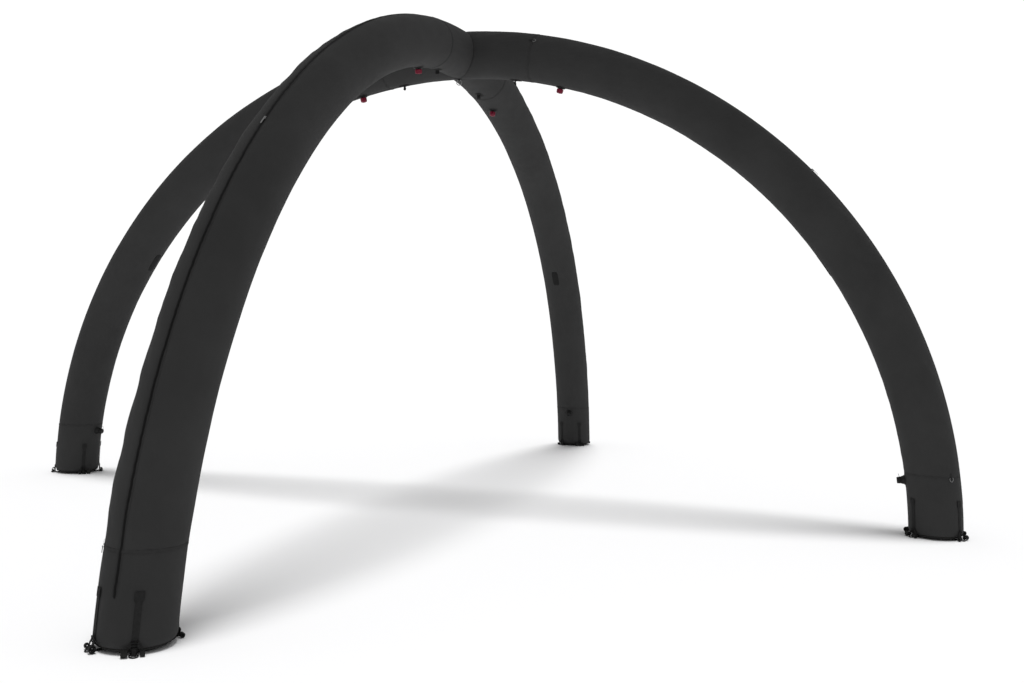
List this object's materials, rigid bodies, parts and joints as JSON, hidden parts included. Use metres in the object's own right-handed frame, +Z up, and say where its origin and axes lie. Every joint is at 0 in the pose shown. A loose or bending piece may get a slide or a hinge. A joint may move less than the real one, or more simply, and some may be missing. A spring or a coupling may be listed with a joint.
{
  "type": "inflatable cross-arch tent frame",
  "caption": "Bare inflatable frame of a four-legged event shelter: black air arches that cross at a crown and stand on four webbed feet.",
  "frame": {"origin": "on the ground, straight below the crown", "axes": "+Z up; +X and +Y along the sides of the footprint, with the legs on the diagonals"},
  "size_m": [6.3424, 6.3424, 3.886],
  "materials": {
    "black_metal": "black coated",
    "black_plastic": "moulded, fine texture",
    "black_polyester": "woven, matt, slight sheen",
    "clear_liner": "translucent film",
    "coated_fabric": "coated, semi-matt",
    "red_plastic": "moulded, glossy",
    "webbing": "woven ribbed webbing",
    "zip_metal": "satin metal",
    "zip_tape": "woven tape with moulded teeth"
  },
  "bodies": {
    "frame": {"back_left_bladder": "clear_liner", "back_left_foot_cup": "coated_fabric", "back_left_foot_webbing": "webbing", "back_left_inflation_valve": "black_plastic", "back_left_shutoff_valve": "black_plastic", "back_left_sleeve": "black_polyester", "back_left_zip": "zip_tape", "back_right_bladder": "clear_liner", "back_right_foot_cup": "coated_fabric", "back_right_foot_webbing": "webbing", "back_right_inflation_valve": "black_plastic", "back_right_shutoff_valve": "black_plastic", "back_right_sleeve": "black_polyester", "back_right_zip": "zip_tape", "front_left_bladder": "clear_liner", "front_left_foot_cup": "coated_fabric", "front_left_foot_webbing": "webbing", "front_left_inflation_valve": "black_plastic", "front_left_shutoff_valve": "black_plastic", "front_left_sleeve": "black_polyester", "front_left_zip": "zip_tape", "front_right_bladder": "clear_liner", "front_right_foot_cup": "coated_fabric", "front_right_foot_webbing": "webbing", "front_right_inflation_valve": "black_plastic", "front_right_shutoff_valve": "black_plastic", "front_right_sleeve": "black_polyester", "front_right_zip": "zip_tape", "hub_bladder": "clear_liner", "hub_sleeve": "black_polyester"},
    "front_left_shutoff_knob": {"front_left_shutoff_knob": "red_plastic"},
    "front_left_valve_cap": {"front_left_valve_cap": "black_plastic"},
    "front_left_zip_slider": {"front_left_zip_slider": "zip_metal"},
    "front_left_ground_ring_1": {"front_left_ground_ring_1": "black_metal"},
    "front_left_ground_ring_2": {"front_left_ground_ring_2": "black_metal"},
    "front_left_ground_ring_3": {"front_left_ground_ring_3": "black_metal"},
    "front_left_ground_ring_4": {"front_left_ground_ring_4": "black_metal"},
    "front_right_shutoff_knob": {"front_right_shutoff_knob": "red_plastic"},
    "front_right_valve_cap": {"front_right_valve_cap": "black_plastic"},
    "front_right_zip_slider": {"front_right_zip_slider": "zip_metal"},
    "front_right_ground_ring_1": {"front_right_ground_ring_1": "black_metal"},
    "front_right_ground_ring_2": {"front_right_ground_ring_2": "black_metal"},
    "front_right_ground_ring_3": {"front_right_ground_ring_3": "black_metal"},
    "front_right_ground_ring_4": {"front_right_ground_ring_4": "black_metal"},
    "back_right_shutoff_knob": {"back_right_shutoff_knob": "red_plastic"},
    "back_right_valve_cap": {"back_right_valve_cap": "black_plastic"},
    "back_right_zip_slider": {"back_right_zip_slider": "zip_metal"},
    "back_right_ground_ring_1": {"back_right_ground_ring_1": "black_metal"},
    "back_right_ground_ring_2": {"back_right_ground_ring_2": "black_metal"},
    "back_right_ground_ring_3": {"back_right_ground_ring_3": "black_metal"},
    "back_right_ground_ring_4": {"back_right_ground_ring_4": "black_metal"},
    "back_left_shutoff_knob": {"back_left_shutoff_knob": "red_plastic"},
    "back_left_valve_cap": {"back_left_valve_cap": "black_plastic"},
    "back_left_zip_slider": {"back_left_zip_slider": "zip_metal"},
    "back_left_ground_ring_1": {"back_left_ground_ring_1": "black_metal"},
    "back_left_ground_ring_2": {"back_left_ground_ring_2": "black_metal"},
    "back_left_ground_ring_3": {"back_left_ground_ring_3": "black_metal"},
    "back_left_ground_ring_4": {"back_left_ground_ring_4": "black_metal"},
    "crown_ring": {"crown_ring": "zip_metal"}
  },
  "joints": [
    {"name": "front_left_shutoff_knob_turn", "type": "hinge", "parent": "frame", "child": "front_left_shutoff_knob", "pos_m": [-0.62228, -0.62228, 3.40544], "axis": [0.1555, 0.1555, -0.9755], "range_deg": [0, 90]},
    {"name": "front_left_valve_cap_turn", "type": "hinge", "parent": "frame", "child": "front_left_valve_cap", "pos_m": [-2.76271, -2.76271, 0.4], "axis": [0.6907, 0.6907, -0.2142], "range_deg": [0, 270]},
    {"name": "front_left_zip_slider_travel", "type": "hinge", "parent": "frame", "child": "front_left_zip_slider", "pos_m": [0, 0, -0.49841], "axis": [0.7071, -0.7071, 0], "range_deg": [-32.63, 28.73]},
    {"name": "front_left_ground_ring_1_lift", "type": "hinge", "parent": "frame", "child": "front_left_ground_ring_1", "pos_m": [-2.97857, -3.13882, 0.0072], "axis": [-0.9848, 0.1736, 0], "range_deg": [0, 75]},
    {"name": "front_left_ground_ring_2_lift", "type": "hinge", "parent": "frame", "child": "front_left_ground_ring_2", "pos_m": [-2.74972, -2.90996, 0.0072], "axis": [0.1736, -0.9848, 0], "range_deg": [0, 75]},
    {"name": "front_left_ground_ring_3_lift", "type": "hinge", "parent": "frame", "child": "front_left_ground_ring_3", "pos_m": [-2.90996, -2.74972, 0.0072], "axis": [0.9848, -0.1736, 0], "range_deg": [0, 75]},
    {"name": "front_left_ground_ring_4_lift", "type": "hinge", "parent": "frame", "child": "front_left_ground_ring_4", "pos_m": [-3.13882, -2.97857, 0.0072], "axis": [-0.1736, 0.9848, 0], "range_deg": [0, 75]},
    {"name": "front_right_shutoff_knob_turn", "type": "hinge", "parent": "frame", "child": "front_right_shutoff_knob", "pos_m": [0.61788, -0.61788, 3.39548], "axis": [-0.172, 0.172, -0.97], "range_deg": [0, 90]},
    {"name": "front_right_valve_cap_turn", "type": "hinge", "parent": "frame", "child": "front_right_valve_cap", "pos_m": [2.51913, -2.51913, 0.4], "axis": [-0.7012, 0.7012, -0.129], "range_deg": [0, 270]},
    {"name": "front_right_zip_slider_travel", "type": "hinge", "parent": "frame", "child": "front_right_zip_slider", "pos_m": [0, 0, -0.08822], "axis": [0.7071, 0.7071, 0], "range_deg": [-32.64, 32]},
    {"name": "front_right_ground_ring_1_lift", "type": "hinge", "parent": "frame", "child": "front_right_ground_ring_1", "pos_m": [2.86955, -2.7093, 0.0072], "axis": [-0.1736, -0.9848, 0], "range_deg": [0, 75]},
    {"name": "front_right_ground_ring_2_lift", "type": "hinge", "parent": "frame", "child": "front_right_ground_ring_2", "pos_m": [2.64069, -2.48045, 0.0072], "axis": [0.9848, 0.1736, 0], "range_deg": [0, 75]},
    {"name": "front_right_ground_ring_3_lift", "type": "hinge", "parent": "frame", "child": "front_right_ground_ring_3", "pos_m": [2.48045, -2.64069, 0.0072], "axis": [0.1736, 0.9848, 0], "range_deg": [0, 75]},
    {"name": "front_right_ground_ring_4_lift", "type": "hinge", "parent": "frame", "child": "front_right_ground_ring_4", "pos_m": [2.7093, -2.86955, 0.0072], "axis": [-0.9848, -0.1736, 0], "range_deg": [0, 75]},
    {"name": "back_right_shutoff_knob_turn", "type": "hinge", "parent": "frame", "child": "back_right_shutoff_knob", "pos_m": [0.62228, 0.62228, 3.40544], "axis": [-0.1555, -0.1555, -0.9755], "range_deg": [0, 90]},
    {"name": "back_right_valve_cap_turn", "type": "hinge", "parent": "frame", "child": "back_right_valve_cap", "pos_m": [2.76271, 2.76271, 0.4], "axis": [-0.6907, -0.6907, -0.2142], "range_deg": [0, 270]},
    {"name": "back_right_zip_slider_travel", "type": "hinge", "parent": "frame", "child": "back_right_zip_slider", "pos_m": [0, 0, -0.49841], "axis": [-0.7071, 0.7071, 0], "range_deg": [-32.63, 28.73]},
    {"name": "back_right_ground_ring_1_lift", "type": "hinge", "parent": "frame", "child": "back_right_ground_ring_1", "pos_m": [2.97857, 3.13882, 0.0072], "axis": [0.9848, -0.1736, 0], "range_deg": [0, 75]},
    {"name": "back_right_ground_ring_2_lift", "type": "hinge", "parent": "frame", "child": "back_right_ground_ring_2", "pos_m": [2.74972, 2.90996, 0.0072], "axis": [-0.1736, 0.9848, 0], "range_deg": [0, 75]},
    {"name": "back_right_ground_ring_3_lift", "type": "hinge", "parent": "frame", "child": "back_right_ground_ring_3", "pos_m": [2.90996, 2.74972, 0.0072], "axis": [-0.9848, 0.1736, 0], "range_deg": [0, 75]},
    {"name": "back_right_ground_ring_4_lift", "type": "hinge", "parent": "frame", "child": "back_right_ground_ring_4", "pos_m": [3.13882, 2.97857, 0.0072], "axis": [0.1736, -0.9848, 0], "range_deg": [0, 75]},
    {"name": "back_left_shutoff_knob_turn", "type": "hinge", "parent": "frame", "child": "back_left_shutoff_knob", "pos_m": [-0.61788, 0.61788, 3.39548], "axis": [0.172, -0.172, -0.97], "range_deg": [0, 90]},
    {"name": "back_left_valve_cap_turn", "type": "hinge", "parent": "frame", "child": "back_left_valve_cap", "pos_m": [-2.51913, 2.51913, 0.4], "axis": [0.7012, -0.7012, -0.129], "range_deg": [0, 270]},
    {"name": "back_left_zip_slider_travel", "type": "hinge", "parent": "frame", "child": "back_left_zip_slider", "pos_m": [0, 0, -0.08822], "axis": [-0.7071, -0.7071, 0], "range_deg": [-32.64, 32]},
    {"name": "back_left_ground_ring_1_lift", "type": "hinge", "parent": "frame", "child": "back_left_ground_ring_1", "pos_m": [-2.86955, 2.7093, 0.0072], "axis": [0.1736, 0.9848, 0], "range_deg": [0, 75]},
    {"name": "back_left_ground_ring_2_lift", "type": "hinge", "parent": "frame", "child": "back_left_ground_ring_2", "pos_m": [-2.64069, 2.48045, 0.0072], "axis": [-0.9848, -0.1736, 0], "range_deg": [0, 75]},
    {"name": "back_left_ground_ring_3_lift", "type": "hinge", "parent": "frame", "child": "back_left_ground_ring_3", "pos_m": [-2.48045, 2.64069, 0.0072], "axis": [-0.1736, -0.9848, 0], "range_deg": [0, 75]},
    {"name": "back_left_ground_ring_4_lift", "type": "hinge", "parent": "frame", "child": "back_left_ground_ring_4", "pos_m": [-2.7093, 2.86955, 0.0072], "axis": [0.9848, 0.1736, 0], "range_deg": [0, 75]},
    {"name": "crown_ring_swing", "type": "hinge", "parent": "frame", "child": "crown_ring", "pos_m": [0, 0, 3.499], "axis": [0.7071, -0.7071, 0], "range_deg": [-80, 80]}
  ]
}
